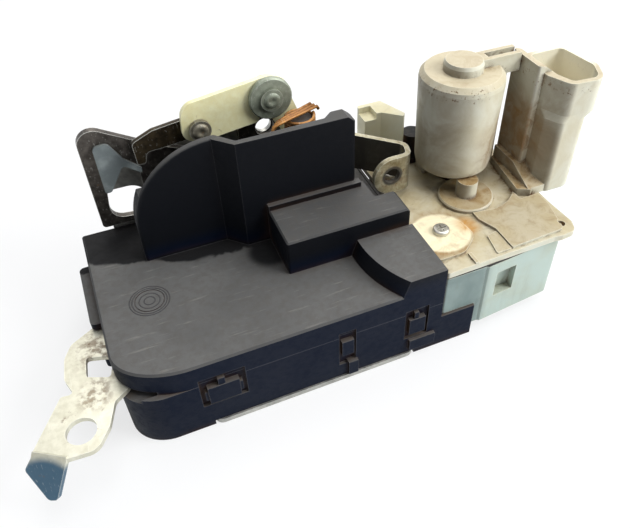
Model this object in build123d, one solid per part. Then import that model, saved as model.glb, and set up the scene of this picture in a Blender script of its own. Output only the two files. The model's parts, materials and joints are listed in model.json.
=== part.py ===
from build123d import *
import math
import os

# Side door latch with its electric lock actuator.
# Millimetres. X runs along the case towards the actuator, Y from the case front to the steel shut face,
# Z up. The origin is the middle of the steel base plate's underside.

# ---------------------------------------------------------------- driving sizes
sheet = 2.0                 # thickness of the pressed steel plates
wall = 2.2                  # wall of the black mouldings
cream_wall = 2.0            # wall of the actuator mouldings
clear = 0.4                 # gap between pieces that move past each other
running = 0.05              # radial clearance of pins in their bores

# case
case_left = -58.5
case_right = 58.5
case_front = -40.0
case_top = 34.0
seam_z = 23.7               # parting line of the two black mouldings
shut_y = 39.6               # inner face of the steel shut face
step_top = 41.0             # raised right end of the cover
roof_top = 49.0             # roof block in front of the tower
tower_top = 79.8            # tower wall and curved fin
tower_y = 8.5               # front face of the tower wall
fin_y = 15.0                # front face of the curved fin
fin_radius = 31.5
pocket = 1.2                  # depth of the snap pockets
low_corner = (14.0, 13.0)     # the lower shell's corner is fuller than the cover's
post_x, post_y, post_radius = 26.5, 17.8, 4.2

# steel frame, rivets and pins
rivet_radius = 1.6
sight_x, sight_z, sight_radius = 18.7, 64.8, 3.2
fixing_radius = 2.5          # M6 tapping size
fixing_collar_radius = 4.2
fixing_collar = 2.6
fixing_holes = [(30.0, 46.0), (-38.0, 20.0), (38.0, 14.0)]
claw_pin_radius = 4.0
pawl_pin_radius = 3.0
crank_pin_radius = 3.0
rivet_shank = 2.0
eye_x, eye_y = 59.2, 7.2
eye_rise = 12.2             # rod eye above the actuator's deck
eye_radius = 3.25
link_front = 31.5           # front face of the crank's bracket

# striker slot and claw
slot_width = 13.6
slot_z = 45.0
slot_end = -30.0            # closed end of the slot
claw_sheet = 2.6
claw_y = 36.2               # front face of the claw plate
claw_x, claw_z = -10.0, 49.0
claw_arm = -49.5            # outer edge of the claw's hook
hub_radius = 11.0
claw_turn = 30.0            # degrees

# pawl
pawl_x, pawl_z = 8.0, 10.0
pawl_tip_z = 46.2
lug_z = 29.0                # push lug that the release slide acts on
lug_radius = 1.5

# release lever
lever_inset = 8.5           # lever's pivot inside the case's left face
lever_y = 6.0
lever_z = 22.6
lever_turn = 15.0           # degrees
rod_hole_reach = 21.7       # from the pivot, to the left
rod_hole_y = -41.9
rod_hole_radius = 4.8
finger_y = 31.2             # where the lever's inner finger meets the slide
lever_pin_radius = 2.5

# lock linkage
crank_x, crank_z = 18.5, 84.0
crank_y = 26.5              # front face of the crank plate
tail_length = 24.0
tail_angle = -62.0          # degrees, from the crank pivot to the tail pin
link_x, link_z = -8.0, 77.5
disc_radius = 8.0
arm_front, arm_back = 29.4, 32.4

# lock actuator
deck_z = 38.0               # top of the actuator's base plate
deck = 2.5
gear_x, gear_y = 87.7, -3.7
mesh_angle = 85.0           # degrees, from the gear's axis to the motor's
cup_radius = 15.9
cup_rise = 9.0              # motor cup above the deck
cup_height = 39.8
gear_ratio = 4
pinion_teeth = 8
gear_module = 0.75
rack_module = 1.0
hub_teeth = 12
gear_low, gear_high = 27.5, 32.5        # the big gear's faces
rack_low, rack_high = 18.6, 26.4        # the rack's faces
can_radius = 13.4
nose_radius = 3.6
shaft_radius = 1.5
axle_radius = 2.0
ear_x, ear_y, ear_radius = 112.8, -33.0, 1.6
screw_places = [(67.4, -19.5), (66.0, 22.0), (108.0, 22.0)]
plug_x, plug_y = 79.5, 28.5
collar_rise = 34.5          # connector collar above the deck
collar_height = 13.5

# ---------------------------------------------------------------- values that follow
lever_x = case_left + lever_inset
rod_hole = (lever_x - rod_hole_reach, rod_hole_y)
eye_z = deck_z + eye_rise
cup_bottom = deck_z + cup_rise
cup_top = cup_bottom + cup_height
collar_low = deck_z + collar_rise
collar_top = collar_low + collar_height
gear_teeth = pinion_teeth * gear_ratio
centre_distance = gear_module * (gear_teeth + pinion_teeth) / 2
motor_x = gear_x + centre_distance * math.cos(math.radians(mesh_angle))
motor_y = gear_y + centre_distance * math.sin(math.radians(mesh_angle))
rack_y = gear_y + rack_module * hub_teeth / 2            # pitch line of the rack
rack_travel = math.pi / 2 * rack_module * hub_teeth / 2  # quarter turn of the gear
tail_x = crank_x + tail_length * math.cos(math.radians(tail_angle))
tail_z = crank_z + tail_length * math.sin(math.radians(tail_angle))
claw_back = claw_y + claw_sheet
cover_y = shut_y - 0.3      # rear face of the black mouldings
notch_back = 35.6           # rear face of the case where the pawl stands
rivet_places = [(-24, -32), (40, -32), (0, 20)]


# ---------------------------------------------------------------- helpers
def block(x, y, z):
    """Box between the given (low, high) pairs."""
    size = Box(x[1] - x[0], y[1] - y[0], z[1] - z[0])
    return Pos((x[0] + x[1]) / 2, (y[0] + y[1]) / 2, (z[0] + z[1]) / 2) * size


def shape(points):
    """Closed flat outline through (u, v, corner radius) points."""
    corners = [(u, v) for u, v, _ in points]
    radii = [radius for _, _, radius in points]
    return make_face(FilletPolyline(*corners, radius=radii, close=True))


def slab_z(face, low, high):
    """A plan outline given height."""
    return extrude(Pos(0, 0, low) * face, high - low)


def slab_y(face, front, back):
    """An outline in X and Z given depth along Y."""
    plane = Plane(origin=(0, back, 0), x_dir=(1, 0, 0), z_dir=(0, -1, 0))
    return extrude(plane * face, back - front)


def slab_x(face, left, right):
    """An outline in Y and Z given length along X."""
    plane = Plane(origin=(left, 0, 0), x_dir=(0, 1, 0), z_dir=(1, 0, 0))
    return extrude(plane * face, right - left)


def rod_z(x, y, radius, low, high):
    return slab_z(Pos(x, y) * Circle(radius), low, high)


def rod_y(x, z, radius, front, back):
    return slab_y(Pos(x, z) * Circle(radius), front, back)


def turned_y(x, z, steps):
    """Stepped pin along Y from (radius, front, back) steps."""
    pieces = [rod_y(x, z, radius, front, back) for radius, front, back in steps]
    return fused(pieces)


def turned_z(x, y, steps):
    """Stepped pin along Z from (radius, low, high) steps."""
    pieces = [rod_z(x, y, radius, low, high) for radius, low, high in steps]
    return fused(pieces)


def fused(pieces):
    body = pieces[0]
    for piece in pieces[1:]:
        body = body + piece
    return body


def turned_profile(x, y, points):
    """Round body about a vertical axis from (radius, z) points."""
    return Pos(x, y, 0) * revolve(Plane.XZ * make_face(Polyline(*points, close=True)), Axis.Z)


def folded(points, radii, thick):
    """Plan outline of a folded strip whose middle line runs through the points."""
    sides = []
    for side in (1, -1):
        edge = []
        for number, (x, y) in enumerate(points):
            before = points[max(number - 1, 0)]
            after = points[min(number + 1, len(points) - 1)]
            first = math.atan2(y - before[1], x - before[0]) if number else None
            last = math.atan2(after[1] - y, after[0] - x) if number < len(points) - 1 else first
            first = last if first is None else first
            middle = (first + last) / 2
            reach = side * thick / 2 / math.cos((last - first) / 2)
            turn = 1 if math.sin(last - first) > 0 else -1
            radius = radii[number] - turn * side * thick / 2 if radii[number] else 0
            edge.append((x - reach * math.sin(middle), y + reach * math.cos(middle), radius))
        sides.append(edge)
    return shape(sides[0] + sides[1][::-1])


def coil_z(x, y, radius, wire, low, turns, pitch):
    """Closed-end coil spring about a vertical axis."""
    path = Helix(pitch=pitch, height=pitch * turns, radius=radius, center=(x, y, low))
    section = Plane(origin=path @ 0, z_dir=path % 0) * Circle(wire / 2)
    return sweep(section, path)


def coil_y(x, z, radius, wire, front, turns, pitch):
    """Coil spring about an axis along Y."""
    path = Helix(pitch=pitch, height=pitch * turns, radius=radius, center=(0, 0, 0))
    section = Plane(origin=path @ 0, z_dir=path % 0) * Circle(wire / 2)
    coil = sweep(section, path)
    return Pos(x, front, z) * (Rot(-90, 0, 0) * coil)


def gear_outline(teeth, module, turn=0.0, slim=0.10):
    """Spur gear outline with straight-flanked teeth; slim is the share of the pitch left as backlash."""
    pitch_radius = teeth * module / 2
    tip = pitch_radius + 0.72 * module
    root = pitch_radius - 1.05 * module
    half = math.pi / teeth * (0.5 - slim)
    flank = math.tan(math.radians(20))
    tip_half = half - 0.72 * module * flank / pitch_radius
    root_half = half + 0.9 * module * flank / pitch_radius
    points = []
    for number in range(teeth):
        middle = turn + 2 * math.pi * number / teeth
        for radius, angle in ((root, -root_half), (tip, -tip_half), (tip, tip_half), (root, root_half)):
            points.append((radius * math.cos(middle + angle), radius * math.sin(middle + angle)))
    return make_face(Polyline(*points, close=True))


# ---------------------------------------------------------------- steel frame
def latch_plate():
    """L pressing: base under the case and the upright shut face with the striker slot."""
    base = slab_z(shape([(-31, case_front - 0.7, 3), (47.5, case_front - 0.7, 3),
                         (47.5, shut_y + sheet, 0), (-31, shut_y + sheet, 0)]), 0, sheet)
    face = slab_y(shape([(-46, 0, 2), (-46, 52, 2), (-44.4, 56, 0), (-44.4, 67.5, 2.5), (-40.5, 71, 2),
                         (-30, 66.5, 3), (-14, 70, 4), (5, 74, 5), (26, 74, 4), (33, 66, 3),
                         (36, 57, 3), (46, 57, 3), (46, 0, 0)]), shut_y, shut_y + sheet)
    low, high = slot_z - slot_width / 2, slot_z + slot_width / 2
    slot = block((-60, slot_end - slot_width / 2), (shut_y - 1, shut_y + 3), (low, high))
    slot = slot + rod_y(slot_end - slot_width / 2, slot_z, slot_width / 2, shut_y - 1, shut_y + 3)
    plate = base + face - slot
    for x, z in fixing_holes:
        plate = plate + rod_y(x, z, fixing_collar_radius, shut_y - fixing_collar, shut_y)
        plate = plate - rod_y(x, z, fixing_radius, shut_y - 5, shut_y + 5)
    plate = plate - rod_y(claw_x, claw_z, claw_pin_radius + 0.02, shut_y - 1, shut_y + 3)
    plate = plate - rod_y(pawl_x, pawl_z, pawl_pin_radius, shut_y - 1, shut_y + 3)
    plate = plate - rod_y(sight_x, sight_z, sight_radius, shut_y - 1, shut_y + 3)
    for x, y in rivet_places:
        plate = plate - rod_z(x, y, rivet_radius, -1, 3)
    return plate


def linkage_bracket():
    """Stepped bracket that carries the crank's pivot in front of the shut face."""
    front = link_front
    step = shape([(shut_y, 58, 0), (shut_y, 74, 1), (front + sheet, 74, 0), (front + sheet, 92, 0),
                  (front, 92, 0), (front, 72, 1), (shut_y - sheet, 72, 0), (shut_y - sheet, 58, 0)])
    outline = shape([(8, 59, 2), (8, 80, 4), (13, 88.5, 4), (24, 88.5, 4), (28, 80, 4), (28, 59, 2)])
    bracket = slab_x(step, 5, 31) & slab_y(outline, 0, 60)
    bracket = bracket - rod_y(sight_x, sight_z, sight_radius + 0.5, 34, 42)
    return bracket - rod_y(crank_x, crank_z, crank_pin_radius, front - 5, front + 4)


def eye_bracket():
    """Folded strip from the shut face round to the rod eye."""
    low, high = eye_z - 8.2, eye_z + 7.8
    half = sheet / 2
    end = eye_x - 7.7
    plan = folded([(36.6, shut_y - half), (41.6, shut_y - half), (68.2, 14.0), (66.6, eye_y), (end, eye_y)],
                  [0, 3.5, 4.0, 3.2, 0], sheet)
    tab = shape([(end, low, 7.9), (end, high, 7.9), (80, high, 0), (80, low, 0)])
    corners = slab_y(Pos(eye_x, (low + high) / 2) * Rectangle(40, 30) - tab, 0, 12)
    strip = slab_z(plan, low, high) - corners
    return strip - rod_y(eye_x, eye_z, eye_radius, eye_y - 3, eye_y + 3)


# ---------------------------------------------------------------- black mouldings
def case_plan(inset=0.0, corner=(24.0, 16.0)):
    """Plan outline of the case with its big front left corner, moved in by inset."""
    left, right = case_left + inset, case_right - inset
    front, back = case_front + inset, cover_y - inset
    inner_right = 48.5 - inset
    jog = -0.5 - inset
    notch_left, notch_right, notch_y = -8 - inset, 24 + inset, notch_back - inset
    corner_x, corner_y = corner[0] - inset, corner[1] - inset
    outline = Polyline((left, front + corner_y), (left, back), (notch_left, back), (notch_left, notch_y),
                       (notch_right, notch_y), (notch_right, back), (inner_right, back), (inner_right, jog),
                       (right, jog), (right, front), (left + corner_x, front))
    rounding = EllipticalCenterArc((left + corner_x, front + corner_y), corner_x, corner_y, 180,
                                   arc_size=90)
    return make_face(outline + rounding)


def lever_slot():
    """Room for the release lever where it passes through the left wall."""
    return block((case_left - 7.5, case_left + wall + 12), (case_front + wall + 0.2, 14),
                 (lever_z - 0.7, lever_z + 2.7))


def snap_pockets():
    """Pockets in the front wall, across the seam, as (left, right, low, high)."""
    return [(-34.0, -18.0, 12.0, 26.5), (16.5, 23.0, 8.5, 26.0), (43.0, 52.5, 10.0, 25.5)]


def snap_lugs():
    """Hooks of the lower shell that stand in the pockets, as (left, right, low, high, proud)."""
    return [(-31.5, -20.5, 13.6, 22.0, 0.9), (-27.6, -25.2, 21.9, 25.2, 0.6),
            (-32.6, -31.4, 15.5, 20.0, 0.5),
            (-20.6, -19.4, 15.5, 20.0, 0.5), (19.8, 23.6, 2.6, 9.5, 1.3), (17.4, 22.0, 14.0, 21.5, 0.7),
            (44.8, 55.6, 4.2, 9.6, 1.4), (44.4, 51.0, 13.0, 20.8, 0.8), (46.4, 48.2, 20.7, 24.0, 0.5)]


def upper_cover():
    """Flat cover with the raised step, roof block, tower wall and curved fin."""
    shell = slab_z(case_plan(), seam_z, case_top)
    shell = chamfer(shell.faces().sort_by(Axis.Z)[-1].edges().filter_by(
        lambda edge: edge.center().Y < 36), 0.7)
    step = slab_z(step_plan(2.2), case_top - 1, case_top + 0.6)
    step = step + loft([Pos(0, 0, case_top + 0.6) * step_plan(2.2), Pos(0, 0, step_top) * step_plan(0)])
    roof = slab_z(shape([(8.6, tower_y + 1, 0), (8.6, -12.9, 0.8), (57.5, -12.9, 0.8), (57.5, -0.5, 0.8),
                         (48.5, -0.5, 0.5), (48.5, tower_y + 1, 0)]), case_top - 1, roof_top)
    roof = chamfer(roof.faces().sort_by(Axis.Z)[-1].edges().filter_by(
        lambda edge: edge.center().Y < tower_y), 0.6)
    lip = block((8.6, 46), (tower_y - 2, tower_y + 1), (roof_top - 1, roof_top + 2.2))
    rod_way = slab_y(shape([(eye_x - 3.7, eye_z + 9.8, 0), (eye_x - 3.7, eye_z - 1.0, 0),
                            (eye_x - 1, eye_z - 3.7, 0),
                            (70, eye_z - 3.7, 0), (70, eye_z + 9.8, 0)]), -20, 1)
    cover = shell + step + (roof - rod_way) + lip + tower() + fin() + spring_post() + buffer_post()
    cover = cover - slab_z(case_plan(wall), seam_z - 1, case_top - wall)
    cover = cover - block((10.8, 46.3), (-10.7, tower_y - 2), (case_top - wall - 1, roof_top - wall))
    cover = cover - block((46, case_right - wall), (case_front + wall, -15),
                          (case_top - wall - 1, step_top - wall))
    bulge = slab_z(bulge_plan(), seam_z, seam_z + 4.5) - slab_z(bulge_plan(wall), seam_z - 1, seam_z + 3)
    cover = cover + bulge - slab_z(bulge_plan(wall), seam_z - 1, seam_z + 3)
    cover = cover - lever_slot() - slide_window() - lug_window() - arm_window()
    ring = Pos(-41, -5) * (Circle(5.4) - Circle(4.9))
    cover = cover - slab_z(ring, case_top - 0.3, case_top + 1)
    for x, z in fixing_holes:
        if z < case_top:
            cover = cover - rod_y(x, z, fixing_collar_radius + clear, shut_y - 6, shut_y + 1)
    for left, right, low, high in snap_pockets():
        cover = cover - block((left, right), (case_front - 1, case_front + pocket), (seam_z - 1, high))
    return cover


def step_plan(spread=0.0):
    """Raised right end with its bowed left side; spread moves that side out."""
    side = ThreePointArc((35.7 - spread, -12.9), (37.6 - spread, -27.5), (43.8 - spread, case_front))
    rest = Polyline((43.8 - spread, case_front), (case_right, case_front), (case_right, -12.9),
                    (35.7 - spread, -12.9))
    return make_face(side + rest)


def bulge_plan(inset=0.0):
    """Swelling of the left wall round the lever's pivot."""
    return shape([(case_left - 4 + inset, -3 + inset, 2), (case_left + 4, -3 + inset, 0),
                  (case_left + 4, 28 - inset, 0), (case_left - 4 + inset, 28 - inset, 2)])


def tower():
    plan = shape([(-0.3, tower_y, 0), (44.5, tower_y, 1.2), (44.5, tower_y + 6, 1.2), (37, tower_y + 6, 2),
                  (33.5, tower_y + wall + 0.7, 0), (8, tower_y + wall, 0), (0.6, tower_y + wall,
                                                                            0), (-5.3, fin_y + wall, 0),
                  (-6.8, fin_y + wall, 0), (-6.8, fin_y, 0)])
    body = slab_z(plan, case_top - 1, tower_top)
    trim = slab_y(shape([(41.5, 90, 0), (41.5, tower_top, 0), (44.6, tower_top - 2.6, 0), (50, 70, 0),
                         (60, 90, 0)]), 0, 30)
    return body - trim


def fin():
    """Thin wall with a quarter-circle edge that screens the claw."""
    centre_x, centre_z = -6.3, tower_top - fin_radius
    disc = Pos(centre_x, centre_z) * Circle(fin_radius)
    square = Pos(centre_x - fin_radius / 2, (case_top - 1 + tower_top) / 2) \
        * Rectangle(fin_radius, tower_top - case_top + 1)
    lower = Pos(centre_x - fin_radius / 2, (case_top - 1 + centre_z) / 2) \
        * Rectangle(fin_radius, centre_z - case_top + 1)
    face = (disc & square) + lower
    front = slab_y(face, fin_y, fin_y + wall)
    front = front.fillet(1.2, [edge for edge in front.edges()
                               if edge.center().X < centre_x - 4 and abs(edge.center().Y - fin_y) < 0.01
                               and edge.center().Z > case_top])
    band = slab_y(face - Pos(wall, -wall) * face, fin_y, fin_y + 7)
    return front + (band & block((-45, centre_x - 20), (fin_y + 1, 30), (case_top - 1, centre_z + 14)))


def spring_post():
    """Post behind the tower that holds the linkage spring."""
    shelf = block((post_x - 6, post_x + 6), (tower_y + 1, post_y), (69.5, 73.0))
    return shelf + rod_z(post_x, post_y, post_radius, 69.5, 78.4) + rod_z(post_x, post_y, 6.0, 69.5, 73.0)


def buffer_post():
    """Stub behind the fin that carries the striker's rubber stop."""
    return block((slot_end + 3.2, slot_end + 6.6), (30.6, claw_y - 1.8), (case_top - 1, 51))


def slide_window():
    """Opening in the right wall for the lock slide."""
    return block((44, 52), (rack_y - 0.6, rack_y + 7.4), (rack_low - 0.8, rack_high + 0.8))


def lug_window():
    """Slot in the notch wall for the pawl's push lug."""
    return block((3.2, 18.5), (notch_back - wall - 0.4, notch_back + 0.4), (lug_z - 4.2, lug_z + 2.4))


def arm_window():
    """Slot in the top for the lock slide's upright arm."""
    return block((tail_x - rack_travel - 4.6, tail_x + 4.6), (arm_front - 0.6, arm_back + 0.6),
                 (case_top - wall - 1, case_top + 1))


def lower_case():
    """Lower shell with the floor on the base plate and the shelf under the actuator."""
    shell = slab_z(case_plan(0, low_corner), sheet, seam_z)
    left_skirt = slab_z(case_plan(0, low_corner), 0, sheet) & block((-80, -31.3), (-60, 60), (-1, 10))
    right_skirt = slab_z(case_plan(), 0, sheet) & block((47.8, 80), (-60, 60), (-1, 10))
    shelf = block((case_right - 1, 73), (case_front, 14), (0, 16))
    shelf = shelf - block((61, 70.5), (case_front + 2.5, 11.5), (-1, 13.5))
    bulge = slab_z(bulge_plan(), 4, seam_z)
    body = shell + left_skirt + right_skirt + shelf + bulge
    body = body - slab_z(case_plan(wall, low_corner), sheet + wall, seam_z + 1)
    body = body - slab_z(bulge_plan(wall), 6.2, seam_z + 1)
    pivot_post = rod_z(lever_x, lever_y, 5.0, sheet + wall - 0.5, lever_z - 0.2)
    body = body + pivot_post - rod_z(lever_x, lever_y, lever_pin_radius, 10, 30)
    body = body - lever_slot() - slide_window()
    for x, z in fixing_holes:
        if z < case_top:
            body = body - rod_y(x, z, fixing_collar_radius + clear, shut_y - 6, shut_y + 1)
    ledge = slab_z(case_plan(0, low_corner) - case_plan(wall + 1), lever_z - 2.4, lever_z - 0.6)
    body = body + (ledge & block((case_left - 1, case_left + 30), (case_front - 1, case_front + 18), (0, seam_z)))
    for left, right, low, high in snap_pockets():
        body = body - block((left, right), (case_front - 1, case_front + pocket), (low, seam_z + 1))
    for left, right, low, high, proud in snap_lugs():
        body = body + block((left, right), (case_front - proud, case_front + pocket + 0.4),
                            (low, min(high, seam_z)))
        if high > seam_z:
            body = body + block((left, right), (case_front - proud, case_front + pocket - clear),
                                (low, high))
    for x, y in rivet_places:
        body = body - rod_z(x, y, rivet_radius, 0, 10)
    return body


# ---------------------------------------------------------------- claw and pawl
def claw_outline():
    """Hooked claw seen from the case front."""
    body = shape([(claw_arm, 37.8, 1.5), (claw_arm, 84.2, 5.5), (-24, 69, 6), (-8, 62, 6), (0, 50, 3),
                  (-8, 38.4, 3), (-27, 42.5, 3), (-31, 44, 1), (-31, 37.8, 0)])
    body = body + Pos(claw_x, claw_z) * Circle(hub_radius)
    tooth = []
    for radius, degrees in ((hub_radius - 1, -5), (hub_radius + 2, -5), (hub_radius + 2, 30),
                            (hub_radius - 1, 38)):
        angle = math.radians(degrees)
        tooth.append((claw_x + radius * math.cos(angle), claw_z + radius * math.sin(angle), 0))
    return body + shape(tooth)


def claw_mouth(grow=0.0):
    """Mouth that drops over the striker; grow widens it."""
    return shape([(-45 - grow, 47.5, 4), (-44.2 - grow, 54.0, 2), (-36.8 - grow, 66.3 + grow, 1.5),
                  (-31 + grow, 61.2 + grow, 2), (-31 + grow, 30, 0), (-36.4, 30, 0), (-36.4, 40.2 - grow,
                                                                                      1),
                  (-45 - grow, 41.2 - grow, 5)])


def claw():
    face = claw_outline() - claw_mouth()
    plate = slab_y(face, claw_y, claw_back)
    return plate - rod_y(claw_x, claw_z, claw_pin_radius + running, claw_y - 1, claw_back + 1)


def claw_overmould():
    """Grey jacket on the hook, with the lip that meets the striker."""
    pad = shape([(-44.9, 74.0, 1.8), (-39.6, 74.4, 2.5), (-35.4, 66.6, 1), (-30.0, 61.4, 1),
                 (-30.2, 59.2, 0.5),
                 (-36.4, 64.2, 1.5), (-42.6, 54.0, 1.5), (-44.9, 54.0, 1.0)])
    jacket = slab_y(pad, claw_y - 1.2, claw_back + 0.2)
    return jacket - slab_y(claw_outline() - claw_mouth(), claw_y, claw_back)


def pawl():
    """Upright pawl whose tip blocks the claw's tooth, with the lug that the slide pushes."""
    blade = shape([(1.4, 41.5, 0.6), (1.4, pawl_tip_z, 0.3), (7.5, pawl_tip_z, 1), (11.8, 40, 2),
                   (pawl_x + 4.6, pawl_z, 0), (pawl_x - 4.6, pawl_z, 0), (4.8, 36, 2)])
    plate = slab_y(blade + Pos(pawl_x, pawl_z) * Circle(5.2), claw_y, claw_back)
    plate = plate + rod_y(pawl_x, lug_z, lug_radius, arm_back + 0.6, claw_y)
    return plate - rod_y(pawl_x, pawl_z, pawl_pin_radius + running, claw_y - 1, claw_back + 1)


def claw_pin():
    return turned_y(claw_x, claw_z, [(6.5, claw_y - 7.6, claw_y - 6.0),
                                     (claw_pin_radius, claw_y - 6.0, shut_y + sheet)])


def pawl_pin():
    return rod_y(pawl_x, pawl_z, pawl_pin_radius, claw_y - 0.3, shut_y + sheet)


def claw_spring():
    coil = coil_y(claw_x, claw_z, 5.4, 1.2, claw_y - 5.0, 3, 1.3)
    return coil


def pawl_spring():
    """Torsion spring beside the pawl's foot."""
    return coil_y(19.8, 13.0, 2.8, 0.8, claw_y + 0.2, 3, 0.85)


# ---------------------------------------------------------------- release lever and slide
def release_lever():
    """Flat lever with a square window, the rod hole and a bent tip, drawn from its pivot."""
    outline = shape([(-36.6, -43.8, 0), (-26.3, -26.4, 1), (-22.2, -26.8, 1), (-24.4, -20, 4),
                     (-23.4, -11, 5), (-20.5, -5.5, 4), (-12.9, -1.0, 3), (-7, 4, 2), (-6.5, 11.5, 5),
                     (-2.0, 13.0, 1), (-1.1, finger_y + 1.2, 0.6), (1.1, finger_y + 1.2, 0.6), (1.6, 13.0, 1),
                     (6.5, 10.5, 5), (6.2, 0.5, 5), (-4.5, -31, 6), (-10.2, -35.0, 3), (-13.2, -43.6, 5),
                     (-18.0, -50.5, 5), (-27.2, -49.9, 0)])
    window = shape([(-16.5, -13.4, 1), (-17.4, -21.6, 1), (-10.0, -24.8, 1), (-7.4, -16.0, 1)])
    hole = Pos(-rod_hole_reach, rod_hole_y) * Circle(rod_hole_radius)
    plate = Pos(lever_x, 0, 0) * slab_z(outline - window - hole, lever_z, lever_z + sheet)
    along = Vector(-27.2 + 36.6, -49.9 + 43.8, 0).normalized()
    out = Vector(along.Y, -along.X, 0)
    slope = math.radians(55)
    down = Vector(out.X * math.cos(slope), out.Y * math.cos(slope), -math.sin(slope))
    plane = Plane(origin=Vector(lever_x - 36.6, -43.8, lever_z + sheet), x_dir=along, z_dir=down.cross(along))
    length = math.hypot(9.4, 6.1)
    tip = shape([(0, 0.6, 0), (-0.3, -1.5, 0), (-2.2, -5.8, 1.5), (6.0, -14.4, 2), (8.8, -13.8, 1.2),
                 (length, -1.0, 0), (length, 0.6, 0)])
    flap = extrude(plane * tip, -sheet)
    return plate + flap - rod_z(lever_x, lever_y, lever_pin_radius + running, 10, 40)


def release_pin():
    return turned_z(lever_x, lever_y, [(lever_pin_radius, 12, lever_z + sheet + 0.3),
                                       (4.5, lever_z + sheet + 0.3, lever_z + sheet + 1.7)])


def release_spring():
    return coil_z(lever_x, lever_y, 6.2, 1.0, 12.0, 4, 1.4)


def release_slide():
    """Flat bar that carries the lever's stroke to the pawl's lug."""
    low = lever_z + sheet + clear + 0.2
    push_end = pawl_x - lug_radius - 0.5
    bar = block((lever_x - 4.4, push_end), (29.4, 32.8), (low, low + 2.6))
    left = block((lever_x - 4.4, lever_x - 2.5), (29.4, 32.8), (lever_z - 0.6, low + 1))
    right = block((lever_x + 2.5, lever_x + 4.4), (29.4, 32.8), (lever_z - 0.6, low + 1))
    push = block((push_end - 1.8, push_end), (29.4, claw_y - 0.8), (low, lug_z + 1.6))
    return bar + left + right + push


# ---------------------------------------------------------------- lock linkage
def lock_crank():
    """Wide bell crank: arm to the rivet on the left, tail down to the slide's arm."""
    arm = shape([(-14.6, 73.0, 4.5), (-13.4, 87.4, 5.8), (crank_x - 2, crank_z + 7.7, 0),
                 (crank_x, crank_z, 0), (crank_x - 5, crank_z - 9.2, 0), (-3, 72.6, 3)])
    arm = arm + Pos(crank_x, crank_z) * Circle(7.9)
    tail = shape([(crank_x - 5, crank_z, 0), (tail_x - 4.0, tail_z, 0), (tail_x + 4.0, tail_z, 0),
                  (crank_x + 7.5, crank_z, 0)])
    face = arm + tail + Pos(tail_x, tail_z) * Circle(4.1)
    plate = slab_y(face, crank_y, crank_y + sheet)
    plate = plate + rod_y(tail_x, tail_z, 2.2, crank_y + sheet, arm_back + 1.5)
    plate = plate - rod_y(crank_x, crank_z, crank_pin_radius + running, crank_y - 1, crank_y + 5)
    return plate - rod_y(link_x, link_z, rivet_shank + running, crank_y - 1, crank_y + 5)


def crank_disc():
    """Thick washer on the crank pivot."""
    disc = rod_y(crank_x, crank_z, disc_radius, crank_y - 2.3, crank_y - 0.3)
    disc = chamfer(disc.faces().sort_by(Axis.Y)[0].edges(), 0.5)
    return disc - rod_y(crank_x, crank_z, crank_pin_radius, crank_y - 4, crank_y + 2)


def crank_pin():
    back = link_front
    return turned_y(crank_x, crank_z, [(4.2, crank_y - 3.3, crank_y - 2.3),
                                       (crank_pin_radius, crank_y - 2.3, crank_y + sheet + 0.3),
                                       (4.6, crank_y + sheet + 0.3, back), (crank_pin_radius, back,
                                                                            back + sheet),
                                       (4.4, back + sheet, back + sheet + 1.2)])


def link_rivet():
    """Rivet fast in the dark link, turning in the crank."""
    return turned_y(link_x, link_z, [(3.9, crank_y - 1.9, crank_y - 0.3),
                                     (rivet_shank, crank_y - 0.3, crank_y + sheet + 2.4)])


def lock_link():
    """Dark strip with its hooked end, hung on the rivet."""
    strip = shape([(-31.4, 67.0, 1), (-31.8, 76.0, 2), (-24, 79.4, 4), (-8, 81.6, 3.6), (-3.6, 77.5, 3.6),
                   (-7, 73.4, 3.5), (-22, 71.6, 3), (-27.4, 71.4, 2), (-28.4, 67.0, 1)])
    plate = slab_y(strip, crank_y + sheet + 0.4, crank_y + sheet + 2.4)
    return plate - rod_y(link_x, link_z, rivet_shank, crank_y, crank_y + 10)


def crank_spring():
    """Torsion spring on the post behind the tower."""
    return coil_z(post_x, post_y, 5.2, 1.1, 74.0, 4, 1.3)


def lock_slide():
    """Rack that the gear drives, with the arm that moves the crank's tail."""
    half_thick = math.pi * rack_module / 4 * 0.8
    pitch = math.pi * rack_module
    body = block((tail_x - 3.4, gear_x + 20), (rack_y + 1.1, rack_y + 6.6), (rack_low, rack_high))
    teeth = []
    for number in range(-2, 6):
        middle = gear_x + (number + 0.5) * pitch
        tooth = shape([(middle - half_thick - 0.33, rack_y + 1.3, 0),
                       (middle - half_thick + 0.26, rack_y - 0.72, 0),
                       (middle + half_thick - 0.26, rack_y - 0.72, 0), (middle + half_thick + 0.33,
                                                                        rack_y + 1.3, 0)])
        teeth.append(slab_z(tooth, rack_low, rack_high))
    reach = block((tail_x - 3.4, tail_x + 3.4), (rack_y + 1.1, arm_back), (rack_low, rack_low + 4.2))
    upright = block((tail_x - 2.8, tail_x + 4.2), (arm_front, arm_back), (rack_low, tail_z + 4.6))
    upright = upright + block((tail_x - 4.2, tail_x + 4.2), (arm_front, arm_back),
                              (tail_z - 10, tail_z + 4.6))
    slot = slab_y(Pos(tail_x, tail_z - 1.4) * Rectangle(5.6, 9.0), arm_front - 1, arm_back + 1)
    return fused([body, reach] + teeth) + (upright - slot)


# ---------------------------------------------------------------- lock actuator
def deck_plan():
    """Plan outline of the actuator's deck with its front right ear."""
    left = case_right + 0.3
    return shape([(left, case_front + 0.6, 1.5), (106, -38.4, 3), (109.5, -38.9, 2), (115.5, -38.4, 3.5),
                  (117.4, -33.5, 3.5), (116.5, -20, 6), (116.5, 32, 4), (84, 32, 1), (84, 39.5, 2),
                  (left, 39.5, 2)])


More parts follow.
